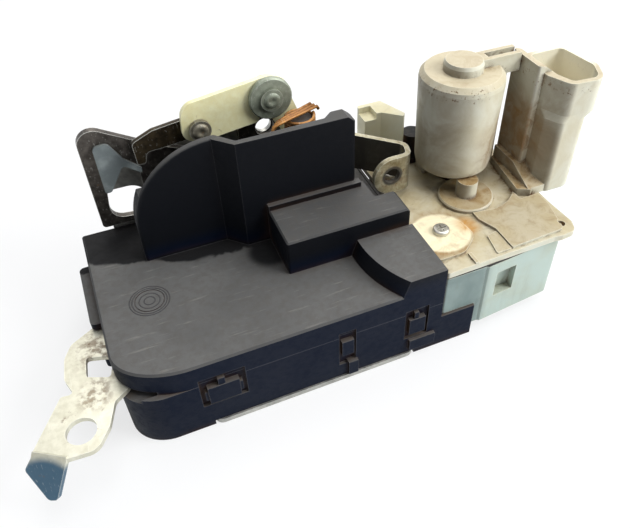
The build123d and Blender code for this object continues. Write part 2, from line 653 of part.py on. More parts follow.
def box_plan(inset=0.0):
    """Plan outline of the box under the deck."""
    return shape([(case_right + 0.6 + inset, case_front + 0.9 + inset, 1.0),
                  (76, case_front + 0.9 + inset, 0), (77, case_front + 0.3 + inset, 0),
                  (111.5 - inset, -36.6 + inset, 2.5), (113.0 - inset, 28 - inset, 3),
                  (case_right + 0.6 + inset, 28 - inset, 2)])


def actuator_housing():
    """Cream deck with the round motor cup on its rear pedestal."""
    plate = slab_z(deck_plan(), deck_z - deck, deck_z)
    pads = shape([(87.4, -37.6, 0.5), (111, -36.6, 2), (114.8, -22, 3), (114.8, -6, 3), (84.4, -6, 0),
                  (84.4, -19, 2), (87.4, -26.4, 1)]) - Pos(93, 1) * Circle(17) - Pos(gear_x,
                                                                                     gear_y) * Circle(11.5)
    plate = plate + slab_z(pads - Pos(114.3, -1) * Rectangle(16, 28), deck_z, deck_z + 1.2)
    plate = plate + slab_z(shape([(80.8, -37.6, 0.5), (87.2, -37.6, 0.5), (87.2, -26.9, 0.5),
                                  (82.6, -28.0, 0.5)]),
                           deck_z, deck_z + 0.6)
    pad = slab_z(shape([(case_right + 0.3, -33.0, 1), (70, -33.0, 6), (78.6, -26, 6), (77, -15, 6),
                        (68, -12.2, 3),
                        (case_right + 0.3, -11.0, 1)]), deck_z, deck_z + 1.2)
    rib = block((70.8, 72.2), (-39.0, -33.6), (deck_z - 0.5, deck_z + 0.8))
    cup = turned_profile(motor_x, motor_y, [(0, cup_bottom), (cup_radius - 1.7, cup_bottom),
                                            (cup_radius - 0.9, cup_bottom + 0.9), (cup_radius - 0.6,
                                                                                   cup_bottom + 2.6),
                                            (cup_radius + 0.4, cup_top - 3.4), (cup_radius + 0.1,
                                                                                cup_top - 1.8),
                                            (cup_radius - 1.6, cup_top), (7.6, cup_top), (7.5,
                                                                                          cup_top + 2.6),
                                            (6.9, cup_top + 3.9), (0, cup_top + 4.2)])
    bridge = block((motor_x + 5, 112.2), (motor_y - 3.2, motor_y + 3.6), (cup_top - 4, cup_top + 3.4))
    bridge = bridge - block((motor_x + 9.5, 120), (motor_y - 1.4, motor_y + 1.8),
                            (cup_top - 2, cup_top + 10))
    bridge = bridge + block((motor_x + 12, 112.2), (motor_y + 3.6, motor_y + 6.2),
                            (deck_z - 1, cup_top + 1))
    pedestal = block((motor_x - 9.5, motor_x + 9.5), (motor_y + 6, 29), (deck_z - 1, cup_bottom + 14))
    body = plate + pad + rib + cup + bridge + pedestal
    body = body - rod_z(motor_x, motor_y, can_radius + 0.1, cup_bottom - 1, cup_top - 2.2)
    body = body - rod_z(motor_x, motor_y, nose_radius + 0.1, deck_z - 5, cup_bottom)
    body = body - rod_z(gear_x, gear_y, 3.0, deck_z - 5, deck_z + 5)
    body = body - rod_z(plug_x, plug_y, 5.0, deck_z, deck_z + 30)
    for x, y in screw_places:
        body = body - rod_z(x, y, 1.7, deck_z - 5, deck_z + 5)
    return body - rod_z(ear_x, ear_y, ear_radius, deck_z - 5, deck_z + 5)


def motor_can():
    outer = rod_z(motor_x, motor_y, can_radius, cup_bottom + 2.6, cup_top - 5)
    return outer - rod_z(motor_x, motor_y, can_radius - 1.2, cup_bottom + 1, cup_top - 6.4)


def motor_end_cap():
    """End plate of the motor with the nose that seats in the deck."""
    plate = rod_z(motor_x, motor_y, can_radius, cup_bottom + 0.3, cup_bottom + 2.5)
    nose = rod_z(motor_x, motor_y, nose_radius, deck_z - deck, cup_bottom + 1)
    return plate + nose - rod_z(motor_x, motor_y, shaft_radius + running, 30, 60)


def motor_rotor():
    shaft = rod_z(motor_x, motor_y, shaft_radius, 12, cup_top - 7.5)
    core = rod_z(motor_x, motor_y, 9.5, cup_bottom + 8, cup_top - 12)
    return shaft + core


def motor_pinion():
    face = Pos(motor_x, motor_y) * gear_outline(pinion_teeth, gear_module,
                                                math.radians(mesh_angle) + math.pi)
    return slab_z(face, gear_low - 0.5, gear_high + 0.5) - rod_z(motor_x, motor_y, shaft_radius, 20, 40)


def drive_gear():
    """Big gear with the small hub gear that drives the rack."""
    turn = math.radians(mesh_angle) + math.pi / gear_teeth
    wheel = slab_z(Pos(gear_x, gear_y) * gear_outline(gear_teeth, gear_module, turn), gear_low, gear_high)
    for number in range(5):
        angle = math.radians(72 * number)
        wheel = wheel - rod_z(gear_x + 7.6 * math.cos(angle), gear_y + 7.6 * math.sin(angle), 2.0, 20, 40)
    hub = slab_z(Pos(gear_x, gear_y) * gear_outline(hub_teeth, rack_module, math.pi / 2), rack_low,
                 gear_low)
    return wheel + hub - rod_z(gear_x, gear_y, axle_radius + running, 10, 40)


def gear_axle():
    return turned_z(gear_x, gear_y, [(axle_radius, 10, deck_z + 0.5)])


def gear_cap():
    """Round cap with the neck that reaches up under the motor cup."""
    disc = rod_z(gear_x, gear_y, 11.0, deck_z, deck_z + 1.7)
    disc = chamfer(disc.faces().sort_by(Axis.Z)[-1].edges(), 0.5)
    neck = rod_z(gear_x, gear_y, 4.2, deck_z + 1, cup_bottom - 0.2)
    return disc + neck - rod_z(gear_x, gear_y, axle_radius, deck_z - 1, deck_z + 0.5)


def actuator_lower_cover():
    """Pale box under the deck, standing on the lower case's shelf."""
    top = deck_z - deck - 0.8
    body = slab_z(box_plan(), 5, top) - block((50, 73.3), (-60, 60), (0, 16.3))
    inner = slab_z(box_plan(cream_wall), 5 + cream_wall, top + 1)
    inner = inner - block((50, 73.3 + cream_wall), (-60, 60), (0, 16.3 + cream_wall))
    body = body - inner
    recess_wall = block((79.5, 92.5), (-39.5, -33.2), (14, 32)) & slab_z(box_plan(), 5, top)
    body = body + recess_wall - block((81.5, 90.5), (-45, -35.2), (17, 29.5))
    body = body + rod_z(gear_x, gear_y, 5.0, 6, rack_low - 0.3)
    body = body + rod_z(motor_x, motor_y, 4.0, 6, rack_low - 0.4)
    for x, y in screw_places:
        floor = 17.3 if x < 75 else 6
        body = body + (rod_z(x, y, 3.8, floor, top) & slab_z(box_plan(0.2), 0, 60))
        body = body - rod_z(x, y, 1.5, top - 14, top + 1)
    window = block((case_right - 2, case_right + 5), (rack_y - 0.6, rack_y + 7.4),
                   (rack_low - 0.8, rack_high + 0.8))
    body = body - window - rod_z(gear_x, gear_y, axle_radius + 0.02, 10, 40)
    return body - rod_z(motor_x, motor_y, shaft_radius + running, 11.5, 40)


def housing_seal():
    ring = slab_z(box_plan(0.2), deck_z - deck - 0.8, deck_z - deck) \
        - slab_z(box_plan(1.8), deck_z - deck - 1, deck_z)
    return ring


def actuator_screws():
    screws = []
    for x, y in screw_places:
        seat = deck_z + (1.2 if y < 0 else 0.0)
        head = turned_z(x, y, [(1.5, seat - 15, seat), (3.2, seat, seat + 1.9)])
        head = fillet(head.faces().sort_by(Axis.Z)[-1].edges(), 0.9)
        cross = block((x - 1.9, x + 1.9), (y - 0.35, y + 0.35), (seat + 1.0, seat + 3))
        cross = cross + block((x - 0.35, x + 0.35), (y - 1.9, y + 1.9), (seat + 1.0, seat + 3))
        screws.append(head - cross)
    return Compound(children=screws)


def connector_shroud():
    """Connector body on its foot, with the short step out to the open collar."""
    body_plan = shape([(115.4, 11.8, 1), (115.4, -8, 2), (118.6, -14.2, 3), (130.6, -14.4, 4.5),
                       (132.4, -6, 3),
                       (131.6, 11.8, 3)])
    collar_plan = shape([(115.4, 13.2, 1.5), (115.4, -4.5, 4), (119.6, -13.8, 4), (133.2, -14.8, 6),
                         (137.8, -5, 5), (135.2, 13.2, 4)])
    socket_plan = shape([(119.0, 11.4, 1.5), (119.0, -4.8, 2.4), (121.4, -11.9, 2.4), (132.2, -12.8, 4.2),
                         (136.0, -4.8, 3.4), (133.6, 11.4, 2.4)])
    body = slab_z(body_plan, deck_z - 1, collar_low - 2.5)
    body = fillet(body.faces().sort_by(Axis.Z)[0].edges().sort_by(Axis.X)[1:], 2.0)
    neck = loft([Pos(0, 0, collar_low - 2.6) * body_plan, Pos(0, 0, collar_low) * collar_plan])
    column = slab_z(shape([(112.6, -2.5, 1), (118.9, -2.5, 0), (118.9, 13, 0), (112.6, 14, 1)]), deck_z,
                    collar_top + 3)
    slope = Pos(0, 0, collar_top) * slab_y(shape([(105, 13, 0), (112, 3.5, 0), (116.0, 2.2, 0),
                                                  (118.9, 0, 0), (125, 0, 0), (125, 13, 0)]), -5, 20)
    gusset = slab_x(shape([(-13.5, deck_z, 0), (12, deck_z, 0), (12, deck_z + 9, 0), (-1, deck_z + 9, 0),
                           (-13.5, deck_z + 3.5, 0)]), 110.5, 121)
    toe = slab_z(shape([(106.5, -11.5, 0.5), (112, -14.5, 0.5), (112, 12, 0), (109.6, 12, 0)]), deck_z,
                 deck_z + 3.5)
    collar = slab_z(collar_plan, collar_low - 0.1, collar_top)
    shell = body + neck + (column - slope) + gusset + toe + collar
    shell = shell - block((100, 116.9), (-25, 20), (deck_z - 2, deck_z))
    return shell - slab_z(socket_plan, collar_low + 1.5, collar_top + 1)


def connector_terminals():
    blades = []
    for number in range(5):
        y = -8.0 + 4.0 * number
        blades.append(block((126.0, 127.6), (y - 0.4, y + 0.4), (collar_low + 1.5, collar_top - 7)))
    return Compound(children=blades)


def rear_block():
    """White mounting block behind the tower, on the deck's rear edge."""
    plan = shape([(58.9, 31, 0.5), (66, 31, 0.5), (73, 25, 0.5), (74.6, 26.8, 0.5), (69.5, 39.4, 1),
                  (58.9, 39.4, 1)])
    return slab_z(plan, deck_z, 63.0) - block((50, 64), (20, 37.5), (60.4, 70))


def rear_plug():
    return turned_z(plug_x, plug_y, [(3.4, deck_z, deck_z + 3), (4.2, deck_z + 3, deck_z + 14)])


def striker_buffer():
    """Rubber stop at the closed end of the slot."""
    return slab_y(shape([(slot_end, 40, 1), (slot_end, 50, 1), (slot_end + 3.2, 50, 0),
                         (slot_end + 3.2, 40, 0)]),
                  30.6, claw_y - 1.8)


def case_rivets():
    """Rivets that hold the lower case on the base plate."""
    floor = sheet + wall
    rivets = [turned_z(x, y, [(3.2, floor, floor + 1.4), (rivet_radius, 0.4, floor)]) for x,
              y in rivet_places]
    return Compound(children=rivets)


makers = [latch_plate, linkage_bracket, eye_bracket, upper_cover, lower_case, case_rivets, striker_buffer,
          claw, claw_overmould, claw_pin, claw_spring, pawl, pawl_pin, pawl_spring,
          release_lever, release_pin, release_spring, release_slide, lock_crank, crank_disc, crank_pin,
          link_rivet, lock_link, crank_spring, lock_slide, actuator_housing, actuator_lower_cover,
          housing_seal, actuator_screws, gear_cap, gear_axle, drive_gear, motor_can, motor_end_cap,
          motor_rotor, motor_pinion, connector_shroud, connector_terminals, rear_block, rear_plug]

if __name__ == "__main__":
    os.makedirs("parts", exist_ok=True)
    for maker in makers:
        export_step(maker(), os.path.join("parts", maker.__name__ + ".step"))
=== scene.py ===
# %% [markdown]
# # A worn door latch with its electric lock actuator
# The steel, the mouldings and every moving piece come from the packed CAD model, in metres.
# This script gives each of them a finish, adds the small things that a plain solid leaves out,
# and sets up the light and the camera.

import bpy
import json
import math
from mathutils import Matrix, Vector


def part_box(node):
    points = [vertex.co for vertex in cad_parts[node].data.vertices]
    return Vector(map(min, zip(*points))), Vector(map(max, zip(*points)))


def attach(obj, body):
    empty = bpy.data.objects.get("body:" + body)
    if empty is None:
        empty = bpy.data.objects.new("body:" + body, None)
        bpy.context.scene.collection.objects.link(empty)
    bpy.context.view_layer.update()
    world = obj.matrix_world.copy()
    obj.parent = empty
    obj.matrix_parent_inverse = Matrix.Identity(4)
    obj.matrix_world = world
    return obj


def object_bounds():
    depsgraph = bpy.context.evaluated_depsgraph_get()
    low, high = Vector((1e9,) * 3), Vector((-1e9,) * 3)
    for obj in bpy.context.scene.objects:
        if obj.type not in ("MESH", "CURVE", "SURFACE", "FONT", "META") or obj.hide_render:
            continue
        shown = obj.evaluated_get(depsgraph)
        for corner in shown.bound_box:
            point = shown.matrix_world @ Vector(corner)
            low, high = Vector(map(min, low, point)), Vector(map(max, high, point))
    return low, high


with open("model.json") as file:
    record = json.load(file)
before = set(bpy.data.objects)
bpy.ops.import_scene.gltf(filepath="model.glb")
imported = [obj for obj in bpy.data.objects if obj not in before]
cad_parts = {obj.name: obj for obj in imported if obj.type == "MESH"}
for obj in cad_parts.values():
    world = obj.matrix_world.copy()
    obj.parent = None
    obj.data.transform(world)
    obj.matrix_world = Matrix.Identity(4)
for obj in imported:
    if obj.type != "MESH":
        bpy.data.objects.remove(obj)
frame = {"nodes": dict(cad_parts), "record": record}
cad_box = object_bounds()
print("CAD box", cad_box)

# %% [markdown]
# ## Writing finishes as sums
# A finish is a web of small nodes, and drawing it by hand soon hides what it does. Here a number that
# changes over the surface is wrapped in a class, so that `grime * 0.5 + 0.2` adds the Math nodes for
# itself. A texture painted by hand would show its pixels close up, and a sum of noises doesn't.

# %% Numbers that vary
class Value:
    """A socket whose number varies over the surface."""

    def __init__(self, web, socket):
        self.web = web
        self.socket = socket

    def math(self, operation, first, second):
        return self.web.node("ShaderNodeMath", {"operation": operation}, {0: first, 1: second})

    def __add__(self, other):
        return self.math("ADD", self, other)

    def __sub__(self, other):
        return self.math("SUBTRACT", self, other)

    def __rsub__(self, other):
        return self.math("SUBTRACT", other, self)

    def __mul__(self, other):
        return self.math("MULTIPLY", self, other)

    __radd__ = __add__
    __rmul__ = __mul__


print("a Value can be added, subtracted and multiplied")

# %% [markdown]
# ## One way to add any other node
# Everything that isn't a sum goes through one method. It takes the node's type, its settings and what
# feeds its sockets: a Value is linked, and a plain number or colour is written on the socket itself.

# %% Node webs
class Web:
    """The nodes of a material or a world."""

    def __init__(self, owner):
        self.owner = owner
        owner.use_nodes = True
        owner.node_tree.nodes.clear()

    def node(self, kind, settings, inputs, output=0):
        tree = self.owner.node_tree
        made = tree.nodes.new(kind)
        for key, setting in settings.items():
            setattr(made, key, setting)
        for key, value in inputs.items():
            if isinstance(value, Value):
                tree.links.new(value.socket, made.inputs[key])
            else:
                made.inputs[key].default_value = value
        return Value(self, made.outputs[output])

    def end_with(self, shader, kind="ShaderNodeOutputMaterial"):
        tree = self.owner.node_tree
        tree.links.new(shader.socket, tree.nodes.new(kind).inputs["Surface"])


print("a Web adds any node with one method")

# %% [markdown]
# ## What a finish can ask of a surface
# Wear isn't even: it follows the shape. So a finish can ask where a point is, which way its face looks,
# how near it is to an edge or to the bottom of a corner, and it can mix noises of several sizes.
# Everything is measured in the object's own metres, so dirt stays in place when a piece moves.

# %% Finishes
UP = (0, 0, 1)


class Finish(Web):
    """A material that is worked out from place and shape."""

    def __init__(self, name):
        super().__init__(bpy.data.materials.new(name))
        self.place = self.node("ShaderNodeTexCoord", {}, {}, "Object")
        self.normal = self.node("ShaderNodeNewGeometry", {}, {}, "Normal")

    def noise(self, scale, detail=4.0, roughness=0.55, distortion=0.0, place=None):
        inputs = {"Vector": place or self.place, "Scale": scale, "Detail": detail,
                  "Roughness": roughness, "Distortion": distortion}
        return self.node("ShaderNodeTexNoise", {}, inputs)

    def stretched(self, stretch, turn=(0, 0, 0)):
        inputs = {"Vector": self.place, "Scale": stretch, "Rotation": turn}
        return self.node("ShaderNodeMapping", {}, inputs)

    def between(self, value, low, high):
        """0 below low, 1 above high, and a smooth slope between."""
        inputs = {"Value": value, "From Min": low, "From Max": high}
        return self.node("ShaderNodeMapRange", {"interpolation_type": "SMOOTHSTEP"}, inputs)

    def whole(self, value):
        """The value eased into 0 to 1, however many parts were added up in it."""
        return self.between(value, 0.0, 1.0)

    def along(self, vector, direction):
        inputs = {0: vector, 1: direction}
        return self.node("ShaderNodeVectorMath", {"operation": "DOT_PRODUCT"}, inputs, "Value")

    def facing(self, direction, low, high):
        """1 where the surface looks in the direction."""
        return self.between(self.along(self.normal, direction), low, high)

    def at_height(self, low, high):
        """1 past high, on the side away from low."""
        return self.between(self.along(self.place, UP), low, high)

    def near(self, point, inner, outer):
        """1 within inner metres of a point, and 0 past outer."""
        inputs = {0: self.place, 1: point}
        away = self.node("ShaderNodeVectorMath", {"operation": "DISTANCE"}, inputs, "Value")
        return self.between(away, outer, inner)


print("a finish can use", [name for name in vars(Finish) if not name.startswith("_")])

# %% [markdown]
# ## Edges, corners and layers of colour
# The Bevel node rounds the shading normal, so where it differs from the true normal there is an edge.
# Ambient occlusion does the opposite job and finds the corners, where dirt gathers. Colours are laid
# over one another like coats of paint, each with a share that says where it covers.

# %% Edges and coats
class Coated(Finish):
    """A finish with coats of colour, and a surface."""

    def edges(self, radius):
        """Near 1 where the surface turns sharply."""
        soft = self.node("ShaderNodeBevel", {"samples": 6}, {"Radius": radius})
        return self.between(self.along(soft, self.normal), 0.985, 0.86)

    def hollows(self, reach):
        """Near 1 deep in corners and recesses."""
        open_sky = self.node("ShaderNodeAmbientOcclusion", {"samples": 8}, {"Distance": reach}, "AO")
        return self.between(open_sky, 0.9, 0.35)

    def coats(self, base, *coats):
        """Colours laid over a base, each as (colour, share)."""
        for color, share in coats:
            base = self.node("ShaderNodeMix", {"data_type": "RGBA"}, {0: share, 6: base, 7: color}, 2)
        return base

    def bump(self, height, strength, depth):
        inputs = {"Height": height, "Strength": strength, "Distance": depth}
        return self.node("ShaderNodeBump", {}, inputs)

    def surface(self, **inputs):
        sockets = {key.replace("_", " "): value for key, value in inputs.items()}
        self.end_with(self.node("ShaderNodeBsdfPrincipled", {}, sockets))
        return self


def tint(red, green, blue):
    """A colour given as 0 to 255 screen values, turned into light."""
    parts = (red, green, blue)
    return (*[((part / 255 + 0.055) / 1.055) ** 2.4 if part > 10 else part / 3295 for part in parts], 1)


def dress(finish, *nodes):
    for name in nodes:
        piece = frame["nodes"][name]
        piece.data.materials.clear()
        piece.data.materials.append(finish.owner)
    print(finish.owner.name, "on", ", ".join(nodes))


print("mid grey in light", tint(128, 128, 128)[0])

# %% [markdown]
# ## Black moulded case
# The case is glass-filled plastic that has spent years inside a door. Dust and a painted sheen make
# the faces that look up paler, less so on the roof. The walls stay nearly black, with a painted blue shade
# on the front ones, and the edges are rubbed and painted a little paler, as a highlight. At the foot of the
# tower, a painted shadow keeps the cover black as far as a ragged line. A finish that asks how far a face
# looks up puts all of this in place by itself, with no image painted.

# %% Black moulding
BLACK, BLUE_BLACK, TOWER_SHADOW = tint(12, 14, 19), tint(4, 15, 34), tint(15, 15, 17)
DUST_AND_SHEEN, FINE_DUST, STREAK = tint(98, 97, 95), tint(84, 80, 74), tint(150, 146, 138)
EARTH, RUBBED_AND_HIGHLIT = tint(70, 48, 30), tint(104, 104, 106)
COVER_TOP, WALL_TOP = 0.0340, 0.0430
ROOF_START, ROOF_END = 0.0440, 0.0470
SHADOW_LINE = (0.4745, 1, 0)          # across the cover, behind the tower's left foot
BLOCK_CORNER = (0.006, 0.002, COVER_TOP)


def painted_tower_shadow(finish, blotches):
    """Where a painted shadow keeps the top of the cover black, at the foot of the tower."""
    ragged = (blotches - 0.5) * 0.004
    behind = finish.between(finish.along(finish.place, SHADOW_LINE) + ragged, -0.0050, -0.0026)
    behind = behind * finish.between(finish.along(finish.place, (0, 1, 0)) + ragged, 0.0055, 0.0080)
    at_block = finish.near(BLOCK_CORNER, 0.005, 0.011)
    return finish.whole(behind + at_block) * finish.at_height(COVER_TOP + 0.0012, COVER_TOP + 0.0005)


def black_moulding(name, dust_and_sheen=1.0):
    finish = Coated(name)
    looks_up = finish.facing(UP, 0.3, 0.95)
    # Painted shade: the front walls under the cover's top get a blue-black tint.
    shaded_front_wall = finish.at_height(WALL_TOP, COVER_TOP) * finish.facing((-0.35, -0.94, 0), 0.55, 0.95)
    blotches = finish.between(finish.noise(38, 5, 0.6, 0.4), 0.35, 0.68)
    fine = finish.between(finish.noise(420, 4, 0.65), 0.40, 0.66)
    brushed = finish.stretched((90, 700, 300), (0, 0, 0.35))
    streaks = finish.between(finish.noise(1, 4, 0.6, 0.0, brushed), 0.58, 0.78)
    # Dust and a painted sheen make the faces that look up paler, and the roof's top gets less of them.
    dust_and_sheen_share = looks_up * (0.80 + 0.20 * blotches) * dust_and_sheen
    color = finish.coats(
        BLACK, (BLUE_BLACK, shaded_front_wall),
        (DUST_AND_SHEEN, dust_and_sheen_share * (1 - 0.28 * finish.at_height(ROOF_START, ROOF_END))),
        (FINE_DUST, looks_up * fine * 0.35),
        (STREAK, streaks * looks_up * 0.30),
        (EARTH, finish.hollows(0.005) * (0.25 + 0.75 * blotches) * 0.75),
        # Painted shadow at the foot of the tower.
        (TOWER_SHADOW, painted_tower_shadow(finish, blotches) * 0.93),
        # Rubbed edges, made paler partly as a painted highlight.
        (RUBBED_AND_HIGHLIT, finish.edges(0.0006) * 0.35))
    relief = finish.noise(2600, 2, 0.5) * 0.6 + blotches * 0.5 + streaks * 0.4 + fine * 0.4
    return finish.surface(Base_Color=color, Roughness=0.46 + 0.12 * blotches + 0.10 * fine,
                          Normal=finish.bump(relief, 0.4, 0.00012), Specular_IOR_Level=0.12)


black_case = black_moulding("black_moulding")
dress(black_case, "upper_cover", "lower_case")
dress(black_moulding("black_motor_end", 0.2), "motor_end_cap", "rear_plug")

# %% [markdown]
# ## Where the cream mouldings are stained, and where shade is painted
# The actuator has yellowed, and it isn't stained evenly. The side away from the light is painted darker as
# shade, and so is the gap between the cup and the connector, in brown. The ledge under the motor is tan, and
# rust has run from the screw over its pad. The socket is painted lighter and keeps less dirt, as light inside
# it. Each mark is a ball or a band with a soft rim, broken up by noise.

# %% Stains and painted shade on the housing
SCREW_PAD, PAD_STAIN = (0.0674, -0.0195, 0.0392), (0.0790, -0.0195, 0.0392)
CAP_PLACE, SOCKET = (0.0900, 0.0000, 0.0385), (0.1290, 0.0040, 0.0800)
BETWEEN_WALLS = (0.106, 0.004, 0.058)
LEDGE_LOW, LEDGE_HIGH = 0.0362, 0.0412
CUP_SHOULDER, CUP_TOP = 0.0800, 0.0868
SHADED_SIDE, TAN, OCHRE, RUST_RING = tint(92, 78, 60), tint(148, 122, 80), tint(150, 116, 58), tint(150, 112, 56)
SHADE_BROWN, RUST_RUN = tint(134, 98, 52), tint(196, 140, 62)
CLEAN_PAD, CLEAN_TOP, SOCKET_LIGHT = tint(240, 228, 192), tint(210, 202, 176), tint(240, 234, 212)


def housing_stains_and_shade(finish, color, dirt, looks_up, clouds, patches):
    ledge = finish.at_height(LEDGE_LOW, LEDGE_HIGH) * looks_up
    high = finish.at_height(CUP_SHOULDER - 0.003, CUP_SHOULDER) * looks_up
    pad = finish.near(SCREW_PAD, 0.0106, 0.0122)
    # Painted light: the socket is made lighter, and its dirt thinner, to offset the shade inside it.
    socket = finish.near(SOCKET, 0.0110, 0.0145)
    color = finish.coats(
        # Painted shade on the side away from the light.
        color, (SHADED_SIDE, finish.facing((-0.9, -0.4, -0.2), 0.35, 1.0) * (0.50 + 0.25 * clouds)),
        # Painted shade, in brown, in the gap between the cup and the connector.
        (SHADE_BROWN, finish.near(BETWEEN_WALLS, 0.010, 0.024) * (0.35 + 0.45 * patches)),
        (TAN, ledge * (0.62 + 0.33 * patches)),
        (OCHRE, finish.near(CAP_PLACE, 0.012, 0.024) * ledge * (0.30 + 0.35 * patches)),
        (RUST_RING, finish.near(SCREW_PAD, 0.0118, 0.0155) * (0.35 + 0.65 * patches) * 0.8),
        (CLEAN_PAD, pad * (1 - 0.35 * patches)),
        (RUST_RUN, finish.near(PAD_STAIN, 0.002, 0.007) * (0.5 + 0.5 * patches)),
        (CLEAN_TOP, high * (0.40 + 0.2 * clouds)),
        (SOCKET_LIGHT, socket * 0.8))
    rim = finish.at_height(CUP_SHOULDER, 0.0825) * finish.at_height(CUP_TOP, 0.0855)
    rim = rim * finish.facing((-0.8, -0.5, 0.3), 0.15, 0.7)
    grit = finish.between(finish.noise(900, 3, 0.7), 0.58, 0.68)
    dirt = finish.whole(dirt * (1 - 0.45 * high) + rim * (0.25 * patches + 0.9 * grit))
    # Less dirt on the pad, and on the socket as painted light.
    return color, dirt * (1 - 0.7 * pad) * (1 - 0.85 * socket)


print("stains at", SCREW_PAD, PAD_STAIN, CAP_PLACE, BETWEEN_WALLS)

# %% [markdown]
# ## Cream, pale and white mouldings
# All three plastics share one recipe: a clean colour and an aged one, cloudy between the two, with
# brown dirt in the corners, specks on the ledges and faint runs down the walls. They differ in their
# colours and in how dirty they are, and the pale cover is painted greyer beside the case, as shade.

# %% Cream mouldings
SOOT, CHAFED, SHADED = tint(104, 76, 44), tint(240, 236, 216), tint(96, 116, 116)
SHADE_START, SHADE_END = 0.074, 0.080


def cover_painted_shade(finish, color, dirt, looks_up, clouds, patches):
    # Painted shade: the pale cover is made greyer beside the case.
    beside_case = finish.between(finish.along(finish.place, (1, 0, 0)), SHADE_END, SHADE_START)
    return finish.coats(color, (SHADED, beside_case * (0.65 + 0.2 * clouds))), dirt


def cream_moulding(name, clean, aged, dirt_share=1.0, stains_and_shade=None):
    finish = Coated(name)
    looks_up = finish.facing(UP, 0.5, 0.95)
    clouds = finish.between(finish.noise(55, 5, 0.62, 0.5), 0.32, 0.7)
    patches = finish.between(finish.noise(150, 5, 0.7, 0.8), 0.42, 0.68)
    specks = finish.between(finish.noise(1100, 3, 0.7), 0.66, 0.74)
    runs = finish.between(finish.noise(1, 4, 0.65, 0.3, finish.stretched((260, 260, 45))), 0.52, 0.72)
    corners = finish.hollows(0.005)
    color = finish.coats(clean, (aged, clouds * 0.55 + looks_up * 0.35))
    dirt = corners * (0.25 + 0.75 * patches) + looks_up * (specks * 0.5 + patches * 0.22) + runs * 0.12
    if stains_and_shade:
        color, dirt = stains_and_shade(finish, color, dirt, looks_up, clouds, patches)
    color = finish.coats(color, (SOOT, dirt * dirt_share),
                         (CHAFED, finish.edges(0.0008) * (1 - corners) * 0.4))
    relief = finish.noise(1500, 2, 0.5) * 0.4 + clouds * 0.4 + specks * 0.6 + patches * 0.3
    return finish.surface(Base_Color=color, Roughness=0.42 + 0.16 * clouds,
                          Normal=finish.bump(relief, 0.3, 0.00015), Specular_IOR_Level=0.4)


cream = cream_moulding("cream_moulding", tint(216, 214, 196), tint(192, 178, 140), stains_and_shade=housing_stains_and_shade)
dress(cream, "actuator_housing", "connector_shroud", "gear_cap")
pale = cream_moulding("pale_cover", tint(178, 194, 184), tint(178, 182, 160), 0.8, cover_painted_shade)
dress(pale, "actuator_lower_cover")
white = cream_moulding("white_moulding", tint(240, 238, 214), tint(228, 218, 176), 0.5)
dress(white, "rear_block", "lock_slide", "drive_gear")

# %% [markdown]
# ## Zinc-plated steel
# Plated pressings keep a soft grey shine with a faint crystalline mottle. Where the plating has gone
# there are brown flecks, which don't shine. Scratches are paler, and the edges are painted pale as a
# highlight, where they would catch the light. Rust and painted shade lower the Metallic value as well
# as the colour, because a brown metal would still look like polished bronze.

# %% Zinc plate
RUST, EDGE_GLINT_AND_SCRATCH, BLUED, SHADE_DARK = tint(118, 88, 52), tint(238, 238, 230), tint(20, 84, 116), tint(30, 25, 20)
FRONT = (0, -1, 0)


def zinc(name, light, shade, rust=0.5, rough=0.34, metal=0.9, bright_edge=0.5, dirt_at=(), blued_at=(),
         painted_shade_at=()):
    """Plated steel. Places are given as (point, reach), and painted shade as (point, inner, outer, back)."""
    finish = Coated(name)
    mottle = finish.between(finish.noise(420, 4, 0.65), 0.3, 0.72)
    clouds = finish.between(finish.noise(70, 4, 0.6, 0.6), 0.35, 0.68)
    flecks = finish.between(finish.noise(260, 5, 0.72, 0.8), 0.66 - 0.09 * rust, 0.74) * rust
    brushed = finish.stretched((1500, 60, 700), (0, 0, 0.7))
    scratches = finish.between(finish.noise(1, 3, 0.5, 0.0, brushed), 0.60, 0.72)
    rust_and_shade = flecks + finish.hollows(0.003) * clouds * 0.6 * rust
    for point, reach in dirt_at:
        stain = finish.between(finish.noise(330, 4, 0.7), 0.40, 0.60)
        rust_and_shade = rust_and_shade + finish.near(point, reach * 0.3, reach) * stain * 0.6
    rust_and_shade = finish.whole(rust_and_shade)
    color = finish.coats(shade, (light, mottle * 0.55 + clouds * 0.45))
    for point, reach in blued_at:
        color = finish.coats(color, (BLUED, finish.near(point, reach * 0.75, reach) * 0.9))
    # Pale edges are a painted highlight; the pale scratches are wear.
    color = finish.coats(color, (EDGE_GLINT_AND_SCRATCH, finish.edges(0.0005) * bright_edge + scratches * 0.2),
                         (RUST, rust_and_shade))
    # Painted shade: dark, with less metal, behind the eye and in its hole.
    for point, inner, outer, back in painted_shade_at:
        painted_shade = finish.between(finish.along(finish.place, (0, 1, 0)), back, back + 0.0012)
        painted_shade = finish.whole(painted_shade * finish.facing(FRONT, 0.3, 0.7) + finish.near(point, inner, outer) * 0.9)
        color = finish.coats(color, (SHADE_DARK, painted_shade * (0.86 + 0.1 * clouds)))
        rust_and_shade = finish.whole(rust_and_shade + painted_shade)
    relief = mottle * 0.3 + scratches * 0.3 + flecks
    return finish.surface(Base_Color=color, Metallic=metal * (1 - rust_and_shade),
                          Roughness=rough + 0.12 * mottle + 0.30 * rust_and_shade,
                          Normal=finish.bump(relief, 0.25, 0.00012))


print("rust", RUST)

# %% [markdown]
# ## Bright pressings
# The lever is the brightest piece: its near-white colour, with less metal, is partly a painted reflection
# of the lamp behind. It has brown flecks round its hole and a blued tip. The bracket that holds the rod's
# eye is painted dark behind the eye and in its hole, as shade. The crank is plated yellow, and looks almost
# like ivory, so it has hardly any metal in it.

